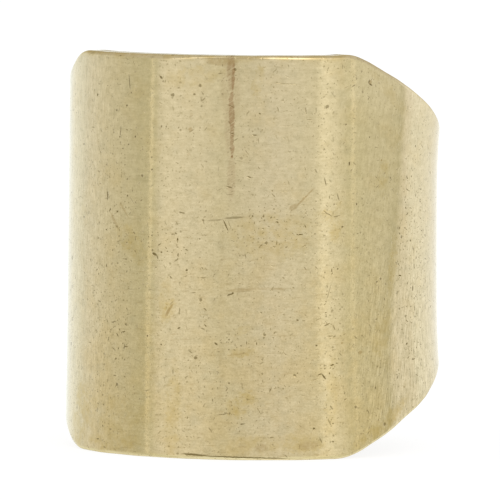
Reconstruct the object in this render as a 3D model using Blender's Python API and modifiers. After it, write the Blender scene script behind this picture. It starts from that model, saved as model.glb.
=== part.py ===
"""Ring-type guitar slide: a short brass band worn on a finger, full height across its playing face and
tapered top and bottom towards the back.

The band is cut from flat sheet, rolled round until its ends meet, and hard-soldered along that butt joint.
Two pieces make the slide: the rolled band and the solder that fills its joint.

Frame: metres, +Z along the finger bore, the middle of the playing face towards -Y, the joint towards +Y,
and the origin on the bore's axis at mid height.
"""

import math

import bmesh
import bpy
import numpy as np

# Driving dimensions, in metres.
OUTER_DIAMETER = 0.0220
WALL = 0.0015
FACE_HEIGHT = 0.0236  # along the bore, across the playing face
BACK_HEIGHT = 0.0091  # along the bore, at the joint
RIM_ROUNDING = 0.00025  # radius worn onto the four long edges
CORNER_RADIUS = 0.0028  # where the straight rim turns into the taper, on the flattened sheet

# The playing face keeps its full height this far to either side of its middle.
FACE_HALF_ARC = math.radians(49.2)

# The soldered joint.
SOLDER_WIDTH = 0.0004
SOLDER_CLEARANCE = 0.00005  # between the solder and each end of the band
SOLDER_PROUD = 0.00004  # the bead stands this far out of the wall, outside and in
SOLDER_SHORT = 0.00012  # and stops this far short of each rim
SOLDER_ROUNDING = 0.00003

# How finely the curved pieces are divided.
FACE_STEPS = 40
CORNER_STEPS = 6
TAPER_STEPS = 34
END_STEP = math.radians(0.3)  # the last step is short, so that the band ends square to its wall
SOLDER_STEPS = 4
ROUNDING_STEPS = 3

OUTER_RADIUS = OUTER_DIAMETER / 2
MIDDLE_RADIUS = OUTER_RADIUS - WALL / 2
TAPER_DROP = (FACE_HEIGHT - BACK_HEIGHT) / 2
TAPER_ARC = math.pi - FACE_HALF_ARC
TAPER_START_SLOPE = TAPER_DROP * (math.pi / 2) / (TAPER_ARC * OUTER_RADIUS)
CORNER_HALF_ARC = CORNER_RADIUS * TAPER_START_SLOPE / (2 * OUTER_RADIUS)
JOINT_HALF_ARC = (SOLDER_WIDTH / 2 + SOLDER_CLEARANCE) / MIDDLE_RADIUS
SOLDER_HALF_ARC = SOLDER_WIDTH / 2 / MIDDLE_RADIUS

BRASS_COLOUR = (0.61, 0.51, 0.30)
SOLDER_COLOUR = (0.66, 0.62, 0.48)


def past_corner(angle):
    """How far an angle lies past the end of the playing face, eased by a parabola through the corner."""
    past = abs(angle) - FACE_HALF_ARC
    if past <= -CORNER_HALF_ARC:
        return 0.0
    if past >= CORNER_HALF_ARC:
        return past
    return (past + CORNER_HALF_ARC) ** 2 / (4 * CORNER_HALF_ARC)


def rim_height(angle):
    """The upper rim's height over mid height, at an angle from the middle of the playing face.

    The taper starts at its steepest and levels out at the joint, as a quarter of a sine wave."""
    return FACE_HEIGHT / 2 - TAPER_DROP * math.sin(math.pi / 2 * past_corner(angle) / TAPER_ARC)


def band_stations():
    """The angles of the band's cross-sections, close together where the rim turns into the taper."""
    corner = (FACE_HALF_ARC - CORNER_HALF_ARC, FACE_HALF_ARC + CORNER_HALF_ARC)
    face = np.linspace(0.0, corner[0], FACE_STEPS // 2 + 1)
    turn = np.linspace(corner[0], corner[1], CORNER_STEPS + 1)
    end = math.pi - JOINT_HALF_ARC
    taper = np.linspace(corner[1], end - END_STEP, TAPER_STEPS + 1)
    half = np.concatenate([face, turn[1:], taper[1:], [end]])
    return np.concatenate([-half[:0:-1], half])


def rolled_sheet(name, stations, radius, half_height):
    """An open surface rolled about the bore's axis: a flat grid with one column for each station angle.

    half_height gives the sheet's half height at an angle. The two curved rims are weighted for rounding."""
    sheet = bmesh.new()
    columns = len(stations) - 1
    bmesh.ops.create_grid(sheet, x_segments=columns, y_segments=1, size=1.0)
    for vertex in sheet.verts:
        column = round((vertex.co.x + 1) / 2 * columns)
        angle = stations[column]
        height = half_height(angle) * (1 if vertex.co.y > 0 else -1)
        vertex.co = (radius * math.sin(angle), -radius * math.cos(angle), height)
    weights = sheet.edges.layers.float.new("bevel_weight_edge")
    for edge in sheet.edges:
        ends = [vertex.co.z for vertex in edge.verts]
        on_one_rim = ends[0] * ends[1] > 0
        edge[weights] = 1.0 if on_one_rim else 0.0
    mesh = bpy.data.meshes.new(name)
    sheet.to_mesh(mesh)
    sheet.free()
    return bpy.data.objects.new(name, mesh)


def give_wall(obj, thickness, rounding, limit):
    """Thickens an outer surface inwards, then rounds its edges."""
    wall = obj.modifiers.new("wall", "SOLIDIFY")
    wall.thickness = thickness
    wall.offset = -1.0
    wall.use_even_offset = True
    edges = obj.modifiers.new("rounding", "BEVEL")
    edges.width = rounding
    edges.segments = ROUNDING_STEPS
    edges.limit_method = limit
    edges.use_clamp_overlap = True


def metal(name, colour, roughness):
    """A plain metallic material."""
    material = bpy.data.materials.new(name)
    material.use_nodes = True
    shader = material.node_tree.nodes["Principled BSDF"]
    shader.inputs["Base Color"].default_value = (*colour, 1.0)
    shader.inputs["Metallic"].default_value = 1.0
    shader.inputs["Roughness"].default_value = roughness
    return material


def make_band():
    band = rolled_sheet("slide_band", band_stations(), OUTER_RADIUS, rim_height)
    give_wall(band, WALL, RIM_ROUNDING, "WEIGHT")
    band.data.materials.append(metal("worn_brass", BRASS_COLOUR, 0.3))
    return band


def make_solder():
    """The bead of hard solder in the butt joint, the same wall rolled on, a little proud of it each way."""
    stations = math.pi + np.linspace(-SOLDER_HALF_ARC, SOLDER_HALF_ARC, SOLDER_STEPS + 1)
    end_height = rim_height(math.pi) - SOLDER_SHORT
    solder = rolled_sheet(
        "solder_seam", stations, OUTER_RADIUS + SOLDER_PROUD, lambda angle: end_height
    )
    give_wall(solder, WALL + 2 * SOLDER_PROUD, SOLDER_ROUNDING, "ANGLE")
    solder.data.materials.append(metal("silver_solder", SOLDER_COLOUR, 0.35))
    return solder


def clear_scene():
    for obj in list(bpy.data.objects):
        bpy.data.objects.remove(obj)


def main():
    clear_scene()
    collection = bpy.data.collections.new("guitar_slide")
    bpy.context.scene.collection.children.link(collection)
    for piece in (make_band(), make_solder()):
        collection.objects.link(piece)
        piece.data.shade_smooth()
        piece.data.set_sharp_from_angle(angle=math.radians(30.0))


main()
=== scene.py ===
"""The looks of the ring-type guitar slide: its worn brass band, the solder in its joint, a pale floor, soft
studio light and the camera.

Lengths in the shaders are millimetres, measured on the band laid flat: s runs round the band from the middle
of the playing face, z runs up the bore, and the third is the depth below the outer face. Elsewhere lengths
are metres, as in the frame.
"""

import math

import bpy
import numpy as np
from mathutils import Matrix, Vector


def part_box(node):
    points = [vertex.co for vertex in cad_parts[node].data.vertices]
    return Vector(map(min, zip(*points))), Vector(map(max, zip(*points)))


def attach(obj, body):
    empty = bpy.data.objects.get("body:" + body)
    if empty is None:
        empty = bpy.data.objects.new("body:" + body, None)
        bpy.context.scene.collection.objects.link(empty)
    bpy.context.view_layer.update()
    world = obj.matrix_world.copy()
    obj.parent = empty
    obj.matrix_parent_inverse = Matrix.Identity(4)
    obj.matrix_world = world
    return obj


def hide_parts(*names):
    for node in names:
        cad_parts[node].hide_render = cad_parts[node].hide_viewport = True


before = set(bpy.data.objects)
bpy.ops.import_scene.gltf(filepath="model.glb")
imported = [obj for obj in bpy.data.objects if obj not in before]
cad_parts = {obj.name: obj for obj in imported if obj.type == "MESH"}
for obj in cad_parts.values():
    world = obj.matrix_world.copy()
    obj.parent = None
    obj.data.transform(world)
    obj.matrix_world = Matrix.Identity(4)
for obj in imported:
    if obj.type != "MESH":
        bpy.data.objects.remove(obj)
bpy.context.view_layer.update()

MM = 0.001

# The band, from the frame.
BAND_LOW, BAND_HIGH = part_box("slide_band")
_, SEAM_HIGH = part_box("solder_seam")
FACE_HALF_HEIGHT = BAND_HIGH.z
SOLDER_SHORT = 0.12 * MM  # the solder stops this far short of each rim
BACK_HALF_HEIGHT = SEAM_HIGH.z + SOLDER_SHORT
OUTER_RADIUS = -BAND_LOW.y
WALL = 1.5 * MM
INNER_RADIUS = OUTER_RADIUS - WALL
FACE_HALF_ARC = math.radians(49.2)
TAPER_DROP = FACE_HALF_HEIGHT - BACK_HALF_HEIGHT
JOINT_HALF_WIDTH = 0.25 * MM
JOINT_HALF_ARC = JOINT_HALF_WIDTH / (OUTER_RADIUS - WALL / 2)

# The camera looks from the right of the playing face's middle, a little from above.
VIEW_AZIMUTH = math.radians(16.84)
VIEW_ELEVATION = math.radians(3.9)
VIEW_DISTANCE = 0.52
VIEW_FIELD = 29.74 * MM  # how wide the view is at the slide
VIEW_ROLL = 0.0065
VIEW_SHIFT = (-0.0055, -0.0084)
SENSOR_MM = 36.0

WHITE = (1.0, 1.0, 1.0, 1.0)
BLACK = (0.0, 0.0, 0.0, 1.0)


# ---------------------------------------------------------------- the band's shape

# The rims are cut by hand, so the four corners where they turn into the taper differ a little: how far past
# the end of the playing face each lies, and how wide it is eased. Keys are the rim, upper 1 or lower -1, and
# the side of the face, right 1 or left -1.
CORNERS = {
    (1, 1): (0.0, math.radians(3.0)),
    (1, -1): (math.radians(2.8), math.radians(4.5)),
    (-1, 1): (0.0, math.radians(5.0)),
    (-1, -1): (math.radians(4.2), math.radians(5.0)),
}
# How far, in mm, each rim of the tapered part on the right lies above its even taper, by degrees round.
SETTLE = {
    1: ((44, 0), (56, 0.15), (67, 0.12), (80, 0), (94, -0.13), (112, -0.13), (172, 0)),
    -1: ((44, 0), (56, 0.15), (66, 0.18), (80, 0.35), (95, 0.36), (112, 0.33), (172, 0)),
}


def rim_drop(angle, extra, ease):
    """How far a rim has come down from its full height, at angles from the middle of the playing face."""
    corner = FACE_HALF_ARC + extra
    past = np.abs(angle) - corner
    eased = np.where(past > ease, past, np.clip(past + ease, 0, None) ** 2 / (4 * ease))
    return TAPER_DROP * np.sin(math.pi / 2 * eased / (math.pi - corner))


def rim_height(angle, side):
    """The height of the upper (1) or lower (-1) rim over mid height."""
    right, left = (rim_drop(angle, *CORNERS[side, way]) for way in (1, -1))
    degrees, settle = zip(*SETTLE[side])
    settled = np.interp(np.degrees(angle), degrees, settle) * MM
    return side * (FACE_HALF_HEIGHT - np.where(angle > 0, right, left)) + settled


SLOPE_STEP = 1e-4  # the turn, in radians, over which a rim's slope is measured


def rim_stretch(angle, side):
    """How much longer the sloping rim is than its run round the band."""
    rise = rim_height(angle + SLOPE_STEP, side) - rim_height(angle - SLOPE_STEP, side)
    slope = rise / (2 * SLOPE_STEP * OUTER_RADIUS)
    return np.sqrt(1 + slope**2)


def smooth(t):
    """A number from 0 to 1, eased at both ends."""
    return t * t * (3 - 2 * t)


NOISE_CELLS = 64  # the noise repeats after this many cells each way
NOISE_START = 10.0 * NOISE_CELLS  # keeps every cell's number above zero


def smooth_noise(x, y, cell, seed):
    """Noise between -1 and 1 at points in metres, smooth over cells of this size."""
    values = np.random.default_rng(seed).uniform(-1, 1, (NOISE_CELLS, NOISE_CELLS))
    x, y = np.broadcast_arrays(np.asarray(x) / cell + NOISE_START, np.asarray(y) / cell + NOISE_START)
    i, j = np.floor(x).astype(int), np.floor(y).astype(int)
    u, v = smooth(x - i), smooth(y - j)
    i, j, k, m = (index % NOISE_CELLS for index in (i, j, i + 1, j + 1))
    below = values[i, j] * (1 - u) + values[k, j] * u
    above = values[i, m] * (1 - u) + values[k, m] * u
    return below * (1 - v) + above * v


def bell(x, middle, width):
    """1 at the middle, falling smoothly to 0 at this distance from it."""
    return smooth(np.clip(1 - np.abs(x - middle) / width, 0, 1))


# How the hand-rolled band departs from a true cylinder.
WAIST = 0.045 * MM
FLARE = 0.20 * MM  # at FLARE_HEIGHT over or under mid height
FLARE_HEIGHT = 7.4 * MM
FLARE_LIMIT = 1.15  # no further flare past this many times that height
LOW_LEFT_FLARE = 0.075 * MM
CONE = 0.006  # how much the radius grows for each unit of height lost
# The waist and the lower flare grow between the first angle and the last, the upper flare between the second
# and the last.
NARROW_FROM = math.radians(20.0)
TOP_FLARE_FROM = math.radians(52.0)
NARROW_FULL = math.radians(95.0)
# Gentle waves worn into the wall: the size of their cells, their height, and the seed of their noise.
WAVES = ((4.2 * MM, 0.0045 * MM, 3), (1.7 * MM, 0.0016 * MM, 4))
# Narrow upright strips of the wall that turn slightly from top to bottom: where each lies along the sheet,
# its half width, its turn in radians for each metre of height, and the heights where the turning stops.
TWISTS = ((-3.2 * MM, 2.0 * MM, 1.15, -4 * MM, 12 * MM), (12.6 * MM, 2.4 * MM, 13.0, -6 * MM, 4 * MM))


def unevenness(angle, z):
    """How far the wall stands out of a true cylinder: a little wider below than above, waisted on the right
    where the band is narrow, since its edges flare as it is rolled, and gently wavy with wear."""
    narrow, top = (
        np.clip((np.abs(angle) - start) / (NARROW_FULL - start), 0, 1)
        for start in (NARROW_FROM, TOP_FLARE_FROM)
    )
    flared = np.where(z > 0, top, narrow)
    right = 0.5 + 0.5 * np.sin(angle)
    rise = np.minimum(np.abs(z) / FLARE_HEIGHT, FLARE_LIMIT) ** 4
    low = np.clip(-z / FACE_HALF_HEIGHT, 0, 1) ** 3
    on_right = right * (flared * FLARE * rise - narrow * WAIST)
    on_left = narrow * (1 - right) * LOW_LEFT_FLARE * low
    out = on_right + on_left - CONE * z
    along = OUTER_RADIUS * angle
    for cell, height, seed in WAVES:
        out = out + height * smooth_noise(along, z, cell, seed)
    for middle, half_width, turn, low, high in TWISTS:
        out = out + turn * np.clip(z, low, high) * (along - middle) * bell(along, middle, half_width)
    return out


# The band's mesh. A column is a cross-section at one angle; its rows go up the outer face, over the upper
# rim, down the inner face and back under the lower rim.
COLUMNS = 420
FACE_ROWS = 118
INNER_ROWS = 40
ROUND_ROWS = 6
LAND_ROWS = 5
# The outer face has extra rows this far from the ends of its roundings.
CLOSE_ROWS = np.array([0.0, 0.025, 0.05, 0.08, 0.12, 0.18, 0.26]) * MM
ROUNDING = 0.25 * MM
# Wear changes the roundings and nicks the rims: its depth, the size of its cells, and the seed of its noise.
ROUNDING_WEAR = 0.07 * MM
ROUNDING_CELL = 1.9 * MM
ROUNDING_SEED = 22
RIM_WEAR = 0.012 * MM
RIM_CELL = 0.8 * MM
RIM_SEED = 12

# Along part of the lower rim the rounding is a flat chamfer under a fine crease.
CHAMFER_MIDDLE = math.radians(15.5)
CHAMFER_HALF_ARC = math.radians(21.0)
CHAMFER_FLATNESS = 0.25  # a power: the nearer to 0, the sooner the chamfer reaches its full width
CREASE_DEPTH = 0.03 * MM
CREASE_WIDTH = 0.075 * MM


def rim_rows(side, tip, stretch, outer, inner, chamfer):
    """Radius and height of the rows over one rim, from the outer face to the inner, without either face's
    own end. A chamfer of 1 makes the outer corner straight instead of round."""
    turn = np.arange(1, ROUND_ROWS + 1) / ROUND_ROWS
    out = (1 - chamfer) * np.cos(turn * math.pi / 2) + chamfer * (1 - turn)
    end = (1 - chamfer) * np.sin(turn * math.pi / 2) + chamfer * turn
    outer_r = OUTER_RADIUS - outer * (1 - out)
    outer_z = tip - side * outer * stretch * (1 - end)
    share = np.arange(1, LAND_ROWS) / LAND_ROWS
    land_r = (OUTER_RADIUS - outer) * (1 - share) + (INNER_RADIUS + inner) * share
    back = turn[::-1]
    inner_r = INNER_RADIUS + inner * (1 - np.cos(back * math.pi / 2))
    inner_z = tip - side * inner * stretch * (1 - np.sin(back * math.pi / 2))
    radius = np.concatenate([outer_r, land_r, inner_r], axis=1)
    z = np.concatenate([outer_z, tip + 0 * share, inner_z], axis=1)
    return radius, z


def band_rows(a):
    """Radius and height of every row at each angle, before the unevenness."""
    along = OUTER_RADIUS * a
    stretch = {side: rim_stretch(a, side) for side in (1, -1)}
    tips, rounds = {}, {}
    for side in (1, -1):
        nicks = np.clip(smooth_noise(along, side, RIM_CELL, RIM_SEED), 0, 1)
        tips[side] = rim_height(a, side) - side * RIM_WEAR * nicks
        rounds[side] = [
            ROUNDING + ROUNDING_WEAR * smooth_noise(along, side * face, ROUNDING_CELL, ROUNDING_SEED)
            for face in (1, 2)
        ]
    chamfer = {1: 0 * a, -1: bell(a, CHAMFER_MIDDLE, CHAMFER_HALF_ARC) ** CHAMFER_FLATNESS}
    ends = {side: tips[side] - side * rounds[side][0] * stretch[side] for side in (1, -1)}
    up = np.linspace(0, 1, FACE_ROWS + 1)[1:-1]
    low, high = ends[-1] + CLOSE_ROWS, ends[1] - CLOSE_ROWS[::-1]
    face_z = np.concatenate([low, low[:, -1:] + (high[:, :1] - low[:, -1:]) * up, high], axis=1)
    crease = CREASE_DEPTH * chamfer[-1] * bell(face_z, ends[-1], CREASE_WIDTH)
    top = tips[1] - rounds[1][1] * stretch[1]
    bottom = tips[-1] + rounds[-1][1] * stretch[-1]
    inner_z = top + (bottom - top) * np.linspace(0, 1, INNER_ROWS + 1)
    over = rim_rows(1, tips[1], stretch[1], *rounds[1], chamfer[1])
    under = rim_rows(-1, tips[-1], stretch[-1], *rounds[-1], chamfer[-1])
    outer_r, inner_r = OUTER_RADIUS - crease, INNER_RADIUS + 0 * inner_z
    radius = np.concatenate([outer_r, over[0], inner_r, under[0][:, ::-1]], axis=1)
    z = np.concatenate([face_z, over[1], inner_z, under[1][:, ::-1]], axis=1)
    return radius, z


SHARP_FROM = math.radians(50.0)


def closed_solid(name, points, attributes):
    """A solid from one closed loop of points per column, capped at both ends. Attributes are arrays over the
    same points, either one number or three to a point."""
    columns, rows = points.shape[:2]
    index = np.arange(columns * rows).reshape(columns, rows)
    here, there = index[:-1], index[1:]
    quads = np.stack([here, there, np.roll(there, -1, 1), np.roll(here, -1, 1)], axis=-1).reshape(-1, 4)
    caps = [index[0].tolist(), index[-1, ::-1].tolist()]
    mesh = bpy.data.meshes.new(name)
    mesh.from_pydata(points.reshape(-1, 3), [], quads.tolist() + caps)
    for key, values in attributes.items():
        kind, field = ("FLOAT_VECTOR", "vector") if values.ndim == 3 else ("FLOAT", "value")
        mesh.attributes.new(key, kind, "POINT").data.foreach_set(field, values.astype(np.float32).ravel())
    mesh.shade_smooth()
    mesh.set_sharp_from_angle(angle=SHARP_FROM)
    mesh.update()
    piece = bpy.data.objects.new(name, mesh)
    bpy.context.scene.collection.objects.link(piece)
    return piece


def ring_points(angle, radius, z):
    """Points at these angles from the middle of the playing face, radii and heights."""
    return np.stack([radius * np.sin(angle), -radius * np.cos(angle), z], axis=-1)


def make_band():
    end = math.pi - JOINT_HALF_ARC
    a = np.linspace(-end, end, COLUMNS)[:, None]
    radius, z = band_rows(a)
    angle = np.broadcast_to(a, z.shape)
    flat = np.stack([OUTER_RADIUS * angle, z, OUTER_RADIUS - radius], axis=-1) / MM
    edge = np.clip(np.minimum(rim_height(a, 1) - z, z - rim_height(a, -1)), 0, None) / MM
    radius = radius + unevenness(angle, z)
    band = closed_solid("rolled_band", ring_points(angle, radius, z), {"flat": flat, "edge": edge})
    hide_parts("slide_band")
    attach(band, "root")
    return band


# The solder bead's mesh: a strip in the joint, domed inside and out and washed a little onto the band.
BEAD_COLUMNS = 160
BEAD_DOME = np.linspace(-1, 1, 11)
BEAD_PROUD = 0.035 * MM
BEAD_SUNK = 0.006 * MM  # the dome's edges lie this far under the band's face
BEAD_WASH = 0.34 * MM
BEAD_DRIFT = 0.05 * MM
BEAD_END = 0.35 * MM  # the bead narrows over this length at either end
NECK_FIT = 1.02  # the neck fills the joint and a little more
NECK_DEPTH = 0.03 * MM  # and stops this far under each face
# Unevenness of its width, its place and its height: the size of the cells, and the seed of the noise.
WASH_NOISE = (0.9 * MM, 41)
DRIFT_NOISE = (1.6 * MM, 42)
PROUD_NOISE = (0.7 * MM, 43)


def make_bead():
    half = SEAM_HIGH.z
    z = np.linspace(-half, half, BEAD_COLUMNS)[:, None]
    close = np.clip((half - np.abs(z)) / BEAD_END, 0, 1)
    taper = np.sqrt(1 - (1 - close) ** 2)
    neck = JOINT_HALF_ARC * OUTER_RADIUS * NECK_FIT
    sides = {}
    for way, face in ((1, OUTER_RADIUS), (-1, INNER_RADIUS)):
        wash = neck + (BEAD_WASH - neck) * taper * (0.75 + 0.25 * smooth_noise(z, way, *WASH_NOISE))
        drift = BEAD_DRIFT * smooth_noise(z, way, *DRIFT_NOISE)
        proud = BEAD_PROUD * (0.35 + 0.65 * taper) * (0.8 + 0.2 * smooth_noise(z, way, *PROUD_NOISE))
        dome = face + way * (proud * (1 - BEAD_DOME**2) - BEAD_SUNK)
        sides[way] = (drift + wash * BEAD_DOME, dome)
    right, left = neck + 0 * z, -neck + 0 * z
    top, bottom = OUTER_RADIUS - NECK_DEPTH + 0 * z, INNER_RADIUS + NECK_DEPTH + 0 * z
    outer, inner = sides[1], [rows[:, ::-1] for rows in sides[-1]]
    across = np.concatenate([outer[0], right, right, inner[0], left, left], axis=1)
    radius = np.concatenate([outer[1], top, bottom, inner[1], bottom, top], axis=1)
    angle = math.pi - across / OUTER_RADIUS
    z = np.broadcast_to(z, across.shape)
    flat = np.stack([across, z, OUTER_RADIUS - radius], axis=-1) / MM
    radius = radius + unevenness(math.pi, z)
    edge = (half - np.abs(z)) / MM
    bead = closed_solid("solder_bead", ring_points(angle, radius, z), {"flat": flat, "edge": edge})
    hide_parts("solder_seam")
    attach(bead, "root")
    return bead


# ---------------------------------------------------------------- shader helpers

class Graph:
    """Short calls for making shader nodes. Every value may be a number or another node's output."""

    def __init__(self, tree):
        self.tree = tree

    def node(self, kind, inputs, **settings):
        made = self.tree.nodes.new(kind)
        for key, value in settings.items():
            setattr(made, key, value)
        for key, value in inputs.items():
            if isinstance(value, bpy.types.NodeSocket):
                self.tree.links.new(value, made.inputs[key])
            else:
                made.inputs[key].default_value = value
        return made

    def math(self, operation, *values):
        return self.node("ShaderNodeMath", dict(enumerate(values)), operation=operation).outputs[0]

    def chain(self, operation, values):
        total = values[0]
        for value in values[1:]:
            total = self.math(operation, total, value)
        return total

    def add(self, *values):
        return self.chain("ADD", values)

    def times(self, *values):
        return self.chain("MULTIPLY", values)

    def most(self, *values):
        return self.chain("MAXIMUM", values)

    def vector(self, operation, *values):
        made = self.node("ShaderNodeVectorMath", dict(enumerate(values)), operation=operation)
        return made.outputs["Value" if operation in ("LENGTH", "DOT_PRODUCT", "DISTANCE") else "Vector"]

    def scaled(self, vector, scale):
        inputs = {0: vector, "Scale": scale}
        return self.node("ShaderNodeVectorMath", inputs, operation="SCALE").outputs["Vector"]

    def map_range(self, value, start, stop, low, high, **settings):
        limits = {"Value": value, "From Min": start, "From Max": stop, "To Min": low, "To Max": high}
        return self.node("ShaderNodeMapRange", limits, **settings).outputs[0]

    def step(self, value, start, stop, low=0.0, high=1.0):
        """A smooth step from low at start to high at stop."""
        return self.map_range(
            value, start, stop, low, high, interpolation_type="SMOOTHSTEP", clamp=False
        )

    def spread(self, value, start, stop, low=0.0, high=1.0):
        """The same, in a straight line."""
        return self.map_range(value, start, stop, low, high)

    def hump(self, value, middle, width):
        """1 at the middle, falling smoothly to 0 at this distance from it."""
        return self.step(self.math("ABSOLUTE", self.math("SUBTRACT", value, middle)), width, 0.0)

    def noise(self, point, size, detail=2.0, roughness=0.5):
        """Noise from about 0 to 1 with features of this size."""
        inputs = {"Vector": point, "Scale": 1.0 / size, "Detail": detail, "Roughness": roughness}
        return self.node("ShaderNodeTexNoise", inputs).outputs[0]

    def cells(self, point, size):
        """The distance to the nearest of some scattered points, in cells, its place, and three random
        numbers that belong to it."""
        inputs = {"Vector": point, "Scale": 1.0 / size}
        made = self.node("ShaderNodeTexVoronoi", inputs, voronoi_dimensions="2D").outputs
        return made["Distance"], made["Position"], self.channels(made["Color"])

    def elsewhere(self, point, x, y=0.0):
        """The same field further off, so that two patterns of one kind don't fall together."""
        return self.vector("ADD", point, (x, y, 0.0))

    def stretched(self, point, x, y, z):
        """Patterns read at this point become longer where the factor is under 1."""
        return self.vector("MULTIPLY", point, (x, y, z))

    def attribute(self, name, output):
        return self.node("ShaderNodeAttribute", {}, attribute_name=name).outputs[output]

    def channels(self, colour):
        return self.node("ShaderNodeSeparateColor", {0: colour}).outputs[:3]

    def parts(self, vector):
        return self.node("ShaderNodeSeparateXYZ", {0: vector}).outputs

    def joined(self, x, y, z=0.0):
        return self.node("ShaderNodeCombineXYZ", {0: x, 1: y, 2: z}).outputs[0]

    def mix(self, share, a, b, blend="MIX"):
        made = self.node("ShaderNodeMix", {0: share, 6: a, 7: b}, data_type="RGBA", blend_type=blend)
        return made.outputs[2]


def mark(g, point, s, z, lean, half_length, half_width, strength):
    """A long thin mark on the flattened band: its middle, its lean in degrees from level, and its size."""
    place = {
        "Vector": point,
        "Location": (s, z, 0.0),
        "Rotation": (0.0, 0.0, math.radians(lean)),
        "Scale": (half_length, half_width, 1.0),
    }
    own = g.node("ShaderNodeMapping", place, vector_type="TEXTURE").outputs[0]
    inwards = g.node("ShaderNodeTexGradient", {"Vector": own}, gradient_type="SPHERICAL").outputs["Fac"]
    return g.step(inwards, 0.0, 0.45, 0.0, strength)


def marks(g, point, rows):
    """The strongest of these marks. Each is compared as it is made, so that few values are alive at once."""
    strongest = mark(g, point, *rows[0])
    for row in rows[1:]:
        strongest = g.math("MAXIMUM", strongest, mark(g, point, *row))
    return strongest


def new_material(name):
    material = bpy.data.materials.new(name)
    material.use_nodes = True
    return material, Graph(material.node_tree), material.node_tree.nodes["Principled BSDF"]


def bump(g, height):
    """The normal given by a height in mm."""
    return g.node("ShaderNodeBump", {"Height": height, "Distance": MM, "Strength": 1.0}).outputs[0]


def make_metal(g, shader, looks):
    for key, value in looks.items():
        g.tree.links.new(value, shader.inputs[key])
    shader.inputs["Metallic"].default_value = 1.0


# ---------------------------------------------------------------- worn brass

# Each mark on the flattened band: its middle (s, z), its lean in degrees from level, its half length, its
# half width and its strength.
# The brown streak down from the upper rim.
STREAK = (
    (1.88, 10.9, 90, 1.5, 0.30, 0.55),
    (2.02, 10.6, 88, 1.2, 0.13, 0.82),
    (1.87, 9.8, 90, 2.3, 0.75, 0.17),
    (1.90, 9.3, 80, 0.6, 0.16, 0.7),
    (2.00, 6.3, 88, 0.45, 0.15, 0.65),
    (1.95, 8.4, 91, 1.4, 0.22, 0.72),
    (1.82, 8.0, 90, 2.4, 0.38, 0.22),
    (1.97, 7.1, 88, 1.3, 0.15, 0.68),
    (1.99, 5.92, 0, 0.11, 0.10, 1.0),
    (1.95, 4.7, 90, 1.6, 0.30, 0.24),
)
# Brown stains and smears.
STAINS = (
    (-1.8, -3.12, 57, 0.55, 0.10, 0.75),
    (-5.9, 1.9, -52, 0.80, 0.12, 0.45),
    (-5.1, 2.6, -48, 0.75, 0.08, 0.40),
    (1.35, 11.45, 0, 1.2, 0.28, 0.5),
    (3.8, -11.05, 0, 0.45, 0.30, 0.45),
    (6.6, -10.95, 8, 0.85, 0.30, 0.35),
    (10.62, 10.2, 0, 0.17, 0.15, 0.6),
    (-0.52, 7.47, 0, 0.16, 0.15, 0.55),
    (-0.48, 8.35, 0, 0.14, 0.13, 0.32),
    (-0.62, 6.02, 0, 0.14, 0.12, 0.30),
    (6.25, 3.5, 44, 1.05, 0.07, 0.60),
    (5.62, 3.0, 30, 0.35, 0.22, 0.50),
    (2.4, -5.6, 8, 0.75, 0.05, 0.45),
    (3.5, -6.1, -18, 0.35, 0.04, 0.45),
    (2.5, -1.85, 2, 0.9, 0.14, 0.45),
    (4.2, -1.75, 0, 1.6, 0.09, 0.30),
    (1.43, -4.4, 90, 8.5, 0.22, 0.09),
    (9.95, -5.6, 10, 0.20, 0.12, 0.60),
    (11.55, 5.6, 70, 0.09, 0.07, 0.85),
    (8.7, -5.0, 0, 0.09, 0.09, 0.60),
    (13.5, -7.8, 0, 0.10, 0.08, 0.60),
    (2.0, -8.5, 80, 0.25, 0.12, 0.30),
)
# Golden patina.
GOLDEN = (
    (12.5, -0.7, 82, 2.4, 0.45, 0.55),
    (-4.8, 0.8, 60, 0.9, 0.6, 0.7),
    (-4.5, 0.7, -50, 2.0, 0.9, 0.45),
    (4.4, 1.3, 0, 3.2, 1.8, 0.45),
    (-1.5, -9.0, 88, 3.6, 0.6, 0.50),
    (-1.85, -3.1, 70, 0.9, 0.45, 0.75),
    (-2.1, -2.5, 85, 1.6, 0.5, 0.35),
    (2.6, -8.5, 30, 1.2, 0.8, 0.80),
    (3.4, -10.9, 5, 2.2, 0.7, 0.5),
    (6.2, -10.8, 0, 1.7, 0.7, 0.55),
    (-6.3, -11.1, 5, 3.4, 0.7, 0.55),
    (-9.4, -9.7, 75, 2.8, 1.6, 0.70),
    (-6.2, -9.6, 0, 4.0, 1.6, 0.35),
    (4.6, 1.2, -5, 2.4, 0.6, 0.6),
    (2.5, -5.5, 5, 1.0, 0.35, 0.6),
    (2.6, -4.2, 20, 0.8, 0.3, 0.6),
    (7.8, 2.5, 0, 1.2, 0.35, 0.5),
    (8.3, 2.0, 80, 1.5, 0.5, 0.5),
    (11.7, 4.6, 80, 1.3, 0.6, 0.5),
    (11.6, -4.6, 75, 2.4, 0.8, 0.45),
    (11.5, -9.9, 33, 3.2, 0.6, 0.65),
    (12.2, 9.5, -42, 2.6, 0.45, 0.25),
    (-0.2, 10.6, 10, 2.2, 0.7, 0.4),
    (3.5, 10.4, 80, 1.1, 0.4, 0.5),
    (8.0, -8.0, 85, 3.2, 0.45, 0.3),
)
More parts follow.
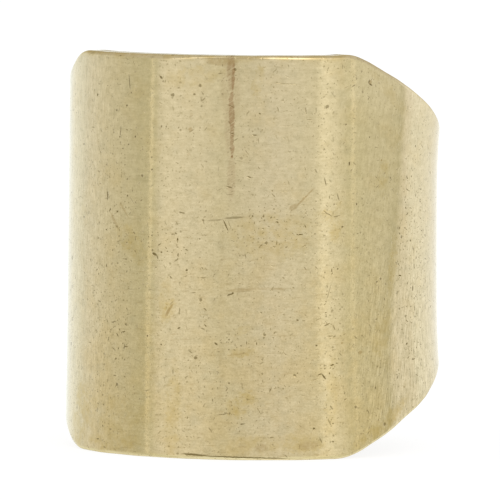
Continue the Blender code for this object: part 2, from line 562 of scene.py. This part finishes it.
# Scratches and dents.
CUTS = (
    (-2.80, 0.12, -20, 0.22, 0.09, 1.0),
    (-2.60, -0.06, -62, 0.15, 0.05, 0.8),
    (2.9, -11.63, -1.2, 3.4, 0.055, 1.0),
    (-0.1, -11.53, -3.0, 0.95, 0.08, 1.0),
    (1.64, 1.92, -65, 0.46, 0.05, 1.0),
    (1.86, 1.98, -68, 0.36, 0.035, 0.5),
    (2.12, 2.38, 4, 0.72, 0.07, 0.6),
    (1.0, 2.22, 6, 0.60, 0.06, 0.45),
    (1.83, 4.16, -14, 0.26, 0.05, 0.8),
    (1.85, 3.72, -2, 0.24, 0.035, 0.5),
    (1.90, 8.88, -20, 0.30, 0.04, 0.6),
    (1.98, 7.28, -16, 0.22, 0.045, 0.8),
    (2.20, 6.93, 30, 0.20, 0.04, 0.6),
    (3.00, 4.75, -18, 0.20, 0.06, 0.8),
    (3.30, 7.20, -6, 0.18, 0.05, 0.8),
    (-1.02, 2.60, -10, 0.24, 0.05, 0.8),
    (0.30, 2.1, -65, 0.20, 0.04, 0.5),
    (-4.76, 10.1, -82, 0.62, 0.045, 0.8),
    (-5.46, 7.2, 84, 0.42, 0.045, 0.75),
    (-6.55, 3.37, 90, 0.34, 0.075, 1.0),
    (-4.5, 3.2, -50, 0.42, 0.035, 0.45),
    (7.57, 4.45, -78, 0.30, 0.04, 0.8),
    (8.40, 3.55, -72, 0.30, 0.04, 0.7),
    (7.72, 2.6, -32, 0.40, 0.035, 0.7),
    (8.32, 2.43, 10, 0.32, 0.04, 0.7),
    (9.15, 5.48, 80, 0.17, 0.07, 1.0),
    (6.55, 8.1, 0, 0.24, 0.04, 0.6),
    (6.97, 5.1, -60, 0.18, 0.05, 0.6),
    (5.15, 10.2, -4, 0.95, 0.035, 0.45),
    (5.1, 7.75, -2, 0.60, 0.03, 0.35),
    (10.54, 10.25, 75, 0.17, 0.055, 0.8),
    (10.66, 10.07, -25, 0.17, 0.06, 1.0),
    (10.74, 10.35, 50, 0.13, 0.045, 0.7),
    (1.95, -2.1, 22, 0.26, 0.065, 0.9),
    (0.45, -3.0, -42, 0.15, 0.055, 0.85),
    (0.47, -3.95, -42, 0.13, 0.055, 0.85),
    (0.34, -4.15, -20, 0.16, 0.05, 0.6),
    (1.12, -5.0, -40, 0.15, 0.07, 1.0),
    (-1.15, -4.15, 30, 0.13, 0.06, 0.9),
    (-1.12, -3.15, 88, 0.24, 0.05, 0.6),
    (-0.25, -2.05, 0, 0.16, 0.04, 0.7),
    (1.60, -9.1, 5, 0.40, 0.04, 0.8),
    (3.65, -8.9, -60, 0.28, 0.035, 0.6),
    (0.82, -10.05, -60, 0.22, 0.05, 0.6),
    (7.27, -6.8, 15, 0.16, 0.055, 0.9),
    (7.52, -6.93, -52, 0.24, 0.06, 1.0),
    (6.95, -7.1, 15, 0.34, 0.03, 0.5),
    (7.33, -10.65, -65, 0.24, 0.045, 0.7),
    (7.86, -9.6, -65, 0.26, 0.04, 0.6),
    (7.98, -8.75, -50, 0.18, 0.05, 0.6),
    (7.72, -3.9, 25, 0.28, 0.045, 0.8),
    (8.18, -4.1, -62, 0.16, 0.045, 0.7),
    (7.83, -2.0, 72, 0.55, 0.03, 0.45),
    (14.6, -2.05, 80, 0.20, 0.07, 1.0),
    (11.8, -2.55, -55, 0.18, 0.05, 0.7),
    (-7.25, -11.0, 4, 0.17, 0.05, 0.9),
    (-5.85, -4.0, 8, 0.26, 0.045, 0.7),
    (-4.95, -5.4, 85, 0.22, 0.05, 0.8),
)
# Round dents.
DOTS = (
    (-7.69, 9.25, 80, 0.10, 0.075, 1.0),
    (-4.62, 9.5, 0, 0.06, 0.06, 0.8),
    (-4.95, 8.73, 0, 0.08, 0.07, 1.0),
    (-5.80, 8.42, 0, 0.09, 0.07, 0.9),
    (-5.52, 6.87, 0, 0.08, 0.06, 0.9),
    (-4.27, 6.93, 0, 0.08, 0.08, 0.9),
    (-4.80, 6.46, 20, 0.10, 0.05, 0.8),
    (-5.25, 6.20, 20, 0.08, 0.05, 0.8),
    (-2.45, 10.47, -35, 0.13, 0.07, 0.9),
    (-0.30, 9.53, 0, 0.08, 0.07, 0.8),
    (-2.40, 7.60, 80, 0.08, 0.05, 0.8),
    (-2.08, 7.60, 80, 0.07, 0.05, 0.7),
    (-3.03, 5.05, 0, 0.06, 0.06, 0.9),
    (3.60, 8.45, -30, 0.09, 0.06, 0.9),
    (2.55, 5.85, 0, 0.10, 0.10, 0.45),
    (-4.30, 1.30, -40, 0.10, 0.06, 0.9),
    (-5.50, 1.05, 0, 0.07, 0.07, 0.8),
    (-1.40, 1.38, -30, 0.10, 0.06, 0.8),
    (0.10, 1.10, 0, 0.06, 0.06, 0.8),
    (8.92, 7.78, 0, 0.07, 0.07, 0.9),
    (10.6, 7.0, 0, 0.06, 0.06, 0.8),
    (14.75, 6.3, 80, 0.10, 0.07, 0.9),
    (9.65, 3.1, 75, 0.10, 0.06, 1.0),
    (8.70, 1.8, 20, 0.09, 0.07, 0.9),
    (4.35, 3.95, 0, 0.06, 0.06, 0.7),
    (2.08, -2.03, 0, 0.09, 0.08, 1.0),
    (-0.70, -0.75, 10, 0.09, 0.07, 1.0),
    (-1.70, -1.20, -50, 0.10, 0.05, 0.8),
    (-2.70, -0.65, 0, 0.07, 0.06, 0.8),
    (-0.10, -5.85, -10, 0.14, 0.11, 0.8),
    (-3.25, -4.70, 0, 0.06, 0.07, 1.0),
    (-2.30, -5.15, 0, 0.06, 0.06, 1.0),
    (-5.20, -4.60, 0, 0.07, 0.07, 0.8),
    (6.90, -9.95, -30, 0.10, 0.08, 1.0),
    (8.10, -10.75, -20, 0.08, 0.06, 0.9),
    (8.90, -8.30, 20, 0.13, 0.06, 0.7),
    (8.85, -7.95, 70, 0.09, 0.05, 0.7),
    (11.2, -1.5, 0, 0.08, 0.07, 1.0),
    (8.40, -0.65, 70, 0.08, 0.06, 0.8),
    (8.05, -3.10, 60, 0.13, 0.08, 0.5),
    (7.05, -5.10, 0, 0.07, 0.07, 1.0),
    (5.90, -3.60, -20, 0.10, 0.06, 1.0),
    (3.75, -3.15, 20, 0.08, 0.05, 0.7),
    (5.90, -6.70, 0, 0.05, 0.05, 0.8),
    (11.0, -7.7, 80, 0.10, 0.06, 0.9),
    (12.9, -7.2, 60, 0.12, 0.06, 0.9),
)

# Where small dents crowd together.
CROWDED = (
    (4.0, 1.8, 0, 3.6, 1.7, 0.7),
    (14.6, -0.5, 90, 8.5, 2.2, 1.0),
    (8.0, -5.0, 90, 7.0, 0.9, 0.6),
    (-2.0, 0.6, 0, 3.2, 1.3, 0.6),
    (-6.2, -1.0, 87, 12.0, 2.4, 0.6),
    (2.5, -7.0, 0, 5.0, 4.0, 0.3),
)


def pits(g, point, size, share, radius, softness):
    """Round pits scattered over cells of this size, in this share of the cells."""
    distance, _, (pick, vary, _) = g.cells(point, size)
    reach = g.spread(vary, 0.0, 1.0, 0.5 * radius / size, radius / size)
    inside = g.step(g.math("SUBTRACT", distance, reach), softness / size, 0.0)
    return g.times(inside, g.math("LESS_THAN", pick, share))


def scratches(g, point, size, share, length, width, lean, spread):
    """Short tapered scratches scattered over cells of this size, in this share of the cells. They lean about
    one way, in radians from level."""
    _, place, (pick, turn, vary) = g.cells(point, size)
    angle = g.spread(turn, 0.0, 1.0, lean - spread, lean + spread)
    half = g.spread(vary, 0.0, 1.0, 0.35 * length, length)
    inputs = {"Vector": point, "Center": place, "Axis": (0.0, 0.0, -1.0), "Angle": angle}
    turned = g.node("ShaderNodeVectorRotate", inputs).outputs[0]
    own = g.vector("DIVIDE", g.vector("SUBTRACT", turned, place), g.joined(half, width, 1.0))
    return g.times(g.step(g.vector("LENGTH", own), 1.0, 0.4), g.math("LESS_THAN", pick, share))


# The scattered marks: where on the sheet their pattern is read, then the arguments of pits or scratches.
SMALL_PITS = (31.0, 17.0), (0.62, 0.26, 0.04, 0.04)
TINY_PITS = (7.0, 43.0), (0.31, 0.42, 0.02, 0.035)
NICKS = (11.0, 5.0), (0.85, 0.5, 0.23, 0.042, 0.0, 1.6)
FLECKS = (53.0, 29.0), (0.42, 0.6, 0.11, 0.032, 0.0, 1.6)
HAIRLINES = (3.0, 71.0), (1.7, 0.5, 0.8, 0.025, 0.0, 0.35)
RUBBING = (91.0, 13.0), (0.7, 0.8, 0.36, 0.03, 1.42, 0.2)
BIG_PITS = (1.9, 0.16, 0.08, 0.05)

RAGGEDNESS = 0.07  # how far, in mm, the outlines of marks are shaken each way
GOLDEN_SHAKE = 5.0  # the patina's outlines are shaken this many times as far
CUT_SHAKE = 0.5
MIDDLE_S = 1.5  # the middle of the part that was polished level
HAIR_SLOPE = 0.17  # the upright grain on the right leans this much
LEVEL_GRAIN = 0.4  # how strong the level grain is beside the upright

# How dark the scattered marks are: big pits, then small and tiny pits, nicks and flecks.
BIG_DARKNESS = 0.7
DARKNESS = (0.6, 0.5, 0.75, 0.6)
# How far, in mm, each pattern raises the shaded surface, or sinks it where it is less than 0.
RAISED = {
    "swell": 0.006,
    "mottle": 0.0030,
    "grain": 0.0011,
    "lines": 0.0011,
    "big": -0.018,
    "small": -0.009,
    "tiny": -0.004,
    "nick": -0.006,
    "fleck": -0.004,
    "hair": -0.0025,
    "cut": -0.014,
}
# How rough the brass is everywhere, and what each pattern or part adds.
ROUGHNESS = {"all": 0.045, "patches": 0.07, "dents": 0.15, "marks": 0.15, "inside": 0.2, "rim": 0.05}

BRASS = (0.627, 0.531, 0.343, 1.0)
BRASS_WARM = (0.605, 0.483, 0.270, 1.0)
BRASS_PALE = (0.69, 0.59, 0.41, 1.0)
BRASS_GREY = (0.53, 0.46, 0.30, 1.0)
PATINA = (0.52, 0.385, 0.14, 1.0)
TARNISH = (0.30, 0.235, 0.105, 1.0)
STREAK_BROWN = (0.25, 0.115, 0.035, 1.0)
STAIN_BROWN = (0.34, 0.225, 0.08, 1.0)
PIT_DARK = (0.15, 0.105, 0.03, 1.0)
GRAZING = (0.92, 0.92, 0.90, 1.0)
GRAZING_RIM = (0.66, 0.61, 0.48, 1.0)
# The colour of the painted highlight along the lower rim, standing in for the pale floor mirrored in the
# rounded edge.
LOWER_RIM_HIGHLIGHT = (0.74, 0.645, 0.39, 1.0)
TONE_DARK = (0.82, 0.81, 0.74, 1.0)
TONE_LIGHT = (1.18, 1.185, 1.20, 1.0)
SOLDER_BRIGHT = (0.66, 0.62, 0.48, 1.0)
SOLDER_DULL = (0.46, 0.41, 0.27, 1.0)


def brass():
    material, g, shader = new_material("worn_brass_look")
    flat = g.attribute("flat", "Vector")
    edge = g.attribute("edge", "Fac")  # mm from the nearer rim
    s, z, depth = g.parts(flat)

    # The sheet laid flat, and the same with its points shaken, for marks with ragged outlines.
    sheet = g.stretched(flat, 1.0, 1.0, 0.0)
    ragged = g.node("ShaderNodeTexNoise", {"Vector": flat, "Scale": 5.0, "Detail": 2.0}).outputs["Color"]
    across, along, _ = g.channels(ragged)
    shake = g.joined(*(g.spread(part, 0.0, 1.0, -RAGGEDNESS, RAGGEDNESS) for part in (across, along)))
    spot = g.vector("ADD", sheet, shake)

    # The parts of the band: its outer face, its inner face, its rims, and the sides and middle of its front.
    # Each is 1 inside the part and 0 outside it.
    outside = g.step(depth, 1.3, 0.4)
    inside = g.step(depth, 0.35, 1.3)
    rim = g.step(edge, 0.45, 0.05)
    aside = g.math("ABSOLUTE", g.math("SUBTRACT", s, MIDDLE_S))
    sides = g.step(aside, 5.5, 9.5)
    middle = g.math("SUBTRACT", 1.0, sides)

    # Broad tone: warmer towards the lower rim, paler at the upper right, with greyer and warmer patches.
    low = g.times(g.step(z, 3.0, -8.0), g.step(aside, 9.5, 12.5, 1.0, -0.4))
    warm = g.step(g.add(g.noise(flat, 2.6, 4.0, 0.62), g.times(low, 0.10)), 0.46, 0.74)
    grey = g.step(g.noise(g.elsewhere(flat, 40.0), 1.3, 4.0, 0.65), 0.48, 0.70)
    colour = g.mix(g.add(g.times(warm, 0.55), g.times(low, 0.25)), BRASS, BRASS_WARM)
    colour = g.mix(g.times(grey, 0.40), colour, BRASS_GREY)
    colour = g.mix(g.times(g.step(z, 7.5, 10.0), g.step(s, 8.3, 9.8), 0.75), colour, BRASS_PALE)

    # A fine mottle, and the grain left by hand polishing: upright at the sides, level across the middle.
    mottle = g.noise(g.elsewhere(flat, 0.0, 60.0), 0.42, 4.0, 0.75)
    grain = g.noise(flat, 0.12, 2.0, 0.7)
    leaning = g.math("SUBTRACT", s, g.times(z, g.step(s, 7.5, 10.5), HAIR_SLOPE))
    upright = g.noise(g.joined(leaning, g.times(z, 0.10), depth), 0.10, 3.0, 0.65)
    level = g.noise(g.stretched(flat, 0.16, 1.0, 1.0), 0.13, 3.0, 0.65)
    left = g.step(s, 4.0, -6.0, 0.6, 0.95)
    low_right = g.times(g.step(s, 8.5, 11.5), g.step(z, 3.0, -5.0), 1.0)
    brushed = g.add(left, low_right)
    lines = g.add(g.times(upright, sides, brushed), g.times(level, middle, LEVEL_GRAIN))
    average = g.times(g.add(g.times(sides, brushed), g.times(middle, LEVEL_GRAIN)), 0.5)
    lines = g.times(g.math("SUBTRACT", lines, average), 2.0)
    grain = g.times(g.math("SUBTRACT", grain, 0.5), g.step(z, 8.0, -2.0, 0.55, 1.2))
    tone = g.add(-0.28, g.times(mottle, 1.55), grain, lines)
    colour = g.mix(1.0, colour, g.mix(tone, TONE_DARK, TONE_LIGHT), "MULTIPLY")

    # Scattered pits and scratches.
    def scattered(kind, point, start, sizes):
        return kind(g, g.elsewhere(point, *start), *sizes)

    big = pits(g, spot, *BIG_PITS)
    small = scattered(pits, spot, *SMALL_PITS)
    tiny = scattered(pits, spot, *TINY_PITS)
    nick = scattered(scratches, spot, *NICKS)
    fleck = scattered(scratches, spot, *FLECKS)
    hair = scattered(scratches, sheet, *HAIRLINES)
    rub = scattered(scratches, sheet, *RUBBING)
    hair = g.times(hair, middle)
    rub = g.times(rub, sides, brushed, 1.4)

    # Marks that have a place of their own, and cross-hatching in the streak.
    streak = g.times(marks(g, spot, STREAK), outside)
    slant = g.joined(g.times(s, 1.5), g.math("SUBTRACT", g.times(z, 7.0), g.times(s, 4.5)), depth)
    hatched = g.step(g.noise(slant, 1.0, 2.0, 0.6), 0.30, 0.58, 0.35, 1.0)
    stain = g.times(marks(g, spot, STAINS), outside)
    shaken = g.vector("ADD", sheet, g.scaled(shake, GOLDEN_SHAKE))
    golden = g.times(marks(g, shaken, GOLDEN), outside)
    shaken = g.vector("ADD", sheet, g.scaled(shake, CUT_SHAKE))
    cut = g.times(marks(g, shaken, CUTS + DOTS), outside)
    broken = g.step(g.noise(flat, 0.2, 3.0, 0.6), 0.25, 0.55, 0.35, 1.0)

    # The colours, laid over one another from the patina up to the dark of the dents and of the inside, with
    # a painted highlight along the lower rim among them.
    colour = g.mix(g.times(golden, g.step(g.noise(flat, 0.9, 4.0, 0.7), 0.3, 0.7), 0.95), colour, PATINA)
    # Browner along the rims, most on the upper rim and least on the taper to the right.
    browner_rim = g.times(rim, g.step(g.noise(flat, 0.7, 3.0), 0.35, 0.65, 0.10, 0.5))
    browner_rim = g.times(browner_rim, g.step(z, -2.0, 2.0, 0.5, 1.0), g.step(s, 9.5, 8.0, 0.3, 1.0))
    colour = g.mix(browner_rim, colour, PATINA)
    # A painted highlight: a pale band along the lower rim, standing in for the pale floor mirrored in its
    # rounded edge.
    lower_rim_highlight = g.times(
        g.hump(edge, 0.13, 0.15),
        g.step(z, -8.0, -9.5),
        g.step(g.noise(flat, 0.8), 0.25, 0.6, 0.3, 0.8),
    )
    colour = g.mix(lower_rim_highlight, colour, LOWER_RIM_HIGHLIGHT)
    colour = g.mix(g.times(streak, hatched, 0.85), colour, STREAK_BROWN)
    colour = g.mix(g.times(stain, broken, 0.85), colour, STAIN_BROWN)
    smears = g.noise(g.stretched(flat, 0.15, 1.0, 1.0), 0.17, 3.0, 0.6)
    smears = g.times(g.step(smears, 0.57, 0.70), middle, g.step(z, 4.5, 1.0), outside, 0.26)
    colour = g.mix(smears, colour, STAIN_BROWN)
    crowd = g.add(g.step(g.noise(flat, 1.9, 2.0), 0.40, 0.62, 0.35, 0.95), marks(g, sheet, CROWDED))
    little = zip((small, tiny, nick, fleck), DARKNESS)
    dents = g.most(
        g.times(big, BIG_DARKNESS),
        g.times(g.most(*(g.times(part, dark) for part, dark in little)), crowd),
        cut,
    )
    colour = g.mix(g.times(dents, 0.85), colour, PIT_DARK)
    colour = g.mix(g.times(g.most(hair, rub), 0.22), colour, PIT_DARK)
    colour = g.mix(g.times(inside, g.step(g.noise(flat, 1.6, 4.0), 0.2, 0.8, 0.45, 0.8)), colour, TARNISH)

    roughness = g.add(
        ROUGHNESS["all"],
        g.times(g.noise(flat, 0.8, 3.0), ROUGHNESS["patches"]),
        g.times(dents, ROUGHNESS["dents"]),
        g.times(g.most(streak, stain), ROUGHNESS["marks"]),
        g.times(inside, ROUGHNESS["inside"]),
        g.times(rim, ROUGHNESS["rim"]),
    )
    height = g.add(
        g.times(g.noise(flat, 0.9, 2.0), RAISED["swell"]),
        g.times(mottle, RAISED["mottle"]),
        g.times(grain, RAISED["grain"]),
        g.times(lines, RAISED["lines"]),
        g.times(big, RAISED["big"]),
        g.times(small, RAISED["small"]),
        g.times(tiny, RAISED["tiny"]),
        g.times(nick, RAISED["nick"]),
        g.times(fleck, RAISED["fleck"]),
        g.times(g.most(hair, rub), RAISED["hair"]),
        g.times(cut, RAISED["cut"]),
    )
    normal = bump(g, height)
    tint = g.mix(g.step(edge, 0.30, 0.05), GRAZING, GRAZING_RIM)
    looks = {"Base Color": colour, "Roughness": roughness, "Normal": normal, "Specular Tint": tint}
    make_metal(g, shader, looks)
    return material


def solder():
    material, g, shader = new_material("silver_solder_look")
    flat = g.attribute("flat", "Vector")
    tone = g.noise(flat, 0.5, 4.0, 0.6)
    colour = g.mix(g.step(tone, 0.35, 0.7), SOLDER_BRIGHT, SOLDER_DULL)
    filing = g.noise(g.stretched(flat, 1.0, 0.12, 1.0), 0.05, 2.0)
    normal = bump(g, g.add(g.times(tone, 0.006), g.times(filing, 0.002)))
    roughness = g.spread(tone, 0.3, 0.7, 0.26, 0.42)
    make_metal(g, shader, {"Base Color": colour, "Roughness": roughness, "Normal": normal})
    return material


# ---------------------------------------------------------------- the studio

# Light round the horizon, from white panels with darker gaps between them: degrees to the right of the
# camera as the slide sees it, brightness, and how much blue there is to each part of red.
PANELS = (
    (-180, 1.25, 1.09), (-150, 1.24, 1.07), (-143, 1.17, 1.08), (-134, 1.10, 1.075), (-129, 1.025, 1.05),
    (-121, 1.03, 1.02), (-102, 0.92, 0.92), (-85, 0.84, 0.88), (-76, 0.795, 0.845), (-68.5, 0.785, 0.83),
    (-65, 0.86, 0.85), (-60, 1.00, 0.95), (-56, 1.065, 0.95), (-49, 1.065, 0.96), (-32, 1.02, 0.95),
    (-20, 0.94, 0.91), (-5, 0.94, 0.94), (13, 0.995, 0.99), (40, 1.00, 0.92), (42, 1.14, 0.925),
    (44.5, 1.235, 0.94), (48, 1.20, 0.93), (52, 1.09, 0.92), (58, 1.00, 0.89), (62, 0.90, 0.84),
    (84, 0.905, 0.875), (92, 0.875, 0.87), (98, 0.78, 0.845), (102, 0.95, 0.92), (108, 1.06, 0.98),
    (120, 1.18, 1.035), (180, 1.24, 0.98),
)
PANEL_WHITE = 1.4  # brightness of a panel whose colour is 1
# Thin lines where two panels meet: degrees, half width in degrees, and how much brighter than the panels.
PANEL_LINES = ((-67.3, 1.5, 0.42), (62.6, 1.5, -0.08), (65.3, 1.6, 0.31))
LINE_WARM = (1.0, 0.92, 0.86, 1.0)
# Two softboxes overhead, seen only in the rounded upper rim: degrees, half width, and brightness.
SOFTBOXES = ((38.0, 40.0, 0.8), (-46.0, 16.0, 0.75))
OVERHEAD = (0.80, 0.78, 0.72, 1.0)
OVERHEAD_FROM, OVERHEAD_FULL = 0.15, 0.45  # how steeply up a ray goes, as the sine of its elevation
AROUND = (1.05, 1.05, 1.05, 1.0)  # the plain light that the floor gets and the camera sees


def panel_colour(level, blue):
    """Green keeps up half way with blue where a panel is bluer than the rest."""
    green = 1 + 0.5 * max(0.0, blue - 0.98)
    return (level / PANEL_WHITE, level * green / PANEL_WHITE, level * blue / PANEL_WHITE, 1.0)


def make_world():
    world = bpy.data.worlds.new("studio")
    bpy.context.scene.world = world
    world.use_nodes = True
    g = Graph(world.node_tree)
    x, y, z = g.parts(g.node("ShaderNodeTexCoord", {}).outputs["Generated"])
    azimuth = g.math("SUBTRACT", g.math("ARCTAN2", x, g.math("MULTIPLY", y, -1.0)), VIEW_AZIMUTH)
    azimuth = g.math("WRAP", azimuth, math.pi, -math.pi)
    ramp = g.node("ShaderNodeValToRGB", {0: g.spread(azimuth, -math.pi, math.pi)})
    stops = ramp.color_ramp.elements
    for degrees, *look in PANELS[1:-1]:
        stops.new((degrees + 180) / 360).color = panel_colour(*look)
    stops[0].color, stops[-1].color = panel_colour(*PANELS[0][1:]), panel_colour(*PANELS[-1][1:])
    panels = g.mix(1.0, ramp.outputs[0], (PANEL_WHITE,) * 3 + (1.0,), "MULTIPLY")
    for degrees, width, extra in PANEL_LINES:
        line = g.hump(azimuth, math.radians(degrees), math.radians(width))
        added = g.mix(line, BLACK, [extra * part for part in LINE_WARM])
        panels = g.mix(1.0, panels, added, "ADD")
    softboxes = 0.0
    for degrees, width, extra in SOFTBOXES:
        box = g.hump(azimuth, math.radians(degrees), math.radians(width))
        softboxes = g.add(softboxes, g.times(box, extra))
    overhead = g.mix(1.0, OVERHEAD, softboxes, "ADD")
    sky = g.mix(g.step(z, OVERHEAD_FROM, OVERHEAD_FULL), panels, overhead)
    rays = g.node("ShaderNodeLightPath", {}).outputs
    plain = g.most(rays["Is Camera Ray"], rays["Is Diffuse Ray"])
    light = g.mix(plain, sky, AROUND)
    world.node_tree.links.new(light, world.node_tree.nodes["Background"].inputs["Color"])


# A wide soft light from the upper right.
SUN_ELEVATION = math.radians(44.0)
SUN_AZIMUTH = math.radians(40.0)
SUN_SIZE = math.radians(30.0)
SUN_STRENGTH = 0.2


def direction(azimuth, elevation):
    """The direction that lies this far round from the playing face's middle and this far up."""
    level = math.cos(elevation)
    return Vector((math.sin(azimuth) * level, -math.cos(azimuth) * level, math.sin(elevation)))


def make_softbox():
    light = bpy.data.lights.new("softbox", "SUN")
    light.energy = SUN_STRENGTH
    light.angle = SUN_SIZE
    softbox = bpy.data.objects.new("softbox", light)
    softbox.rotation_mode = "QUATERNION"
    softbox.rotation_quaternion = direction(SUN_AZIMUTH, SUN_ELEVATION).to_track_quat("Z", "Y")
    bpy.context.scene.collection.objects.link(softbox)


# The floor gives off most of its own light, so that it stays pale and plain.
FLOOR_HALF = 8.0
FLOOR_GREY = (0.2, 0.2, 0.2, 1.0)
FLOOR_ROUGHNESS = 0.9
FLOOR_GLOW = 0.84


def make_floor():
    mesh = bpy.data.meshes.new("floor")
    ways = ((-1, -1), (1, -1), (1, 1), (-1, 1))
    mesh.from_pydata([(x * FLOOR_HALF, y * FLOOR_HALF, BAND_LOW.z) for x, y in ways], [], [(0, 1, 2, 3)])
    floor = bpy.data.objects.new("floor", mesh)
    material, _, shader = new_material("pale_floor")
    looks = {
        "Base Color": FLOOR_GREY,
        "Roughness": FLOOR_ROUGHNESS,
        "Specular IOR Level": 0.0,
        "Emission Color": WHITE,
        "Emission Strength": FLOOR_GLOW,
    }
    for key, value in looks.items():
        shader.inputs[key].default_value = value
    mesh.materials.append(material)
    bpy.context.scene.collection.objects.link(floor)
    floor.visible_glossy = False
    floor.visible_shadow = False


def make_camera():
    data = bpy.data.cameras.new("camera")
    data.sensor_width = SENSOR_MM
    data.lens = SENSOR_MM * VIEW_DISTANCE / VIEW_FIELD
    data.shift_x, data.shift_y = VIEW_SHIFT
    camera = bpy.data.objects.new("camera", data)
    back = direction(VIEW_AZIMUTH, VIEW_ELEVATION)
    turn = (-back).to_track_quat("-Z", "Y").to_matrix().to_4x4() @ Matrix.Rotation(VIEW_ROLL, 4, "Z")
    camera.matrix_world = Matrix.Translation(back * VIEW_DISTANCE) @ turn
    bpy.context.scene.collection.objects.link(camera)
    bpy.context.scene.camera = camera


make_band().data.materials.append(brass())
make_bead().data.materials.append(solder())
make_floor()
make_world()
make_softbox()
make_camera()
bpy.context.scene.view_settings.view_transform = "Standard"

bpy.context.view_layer.update()
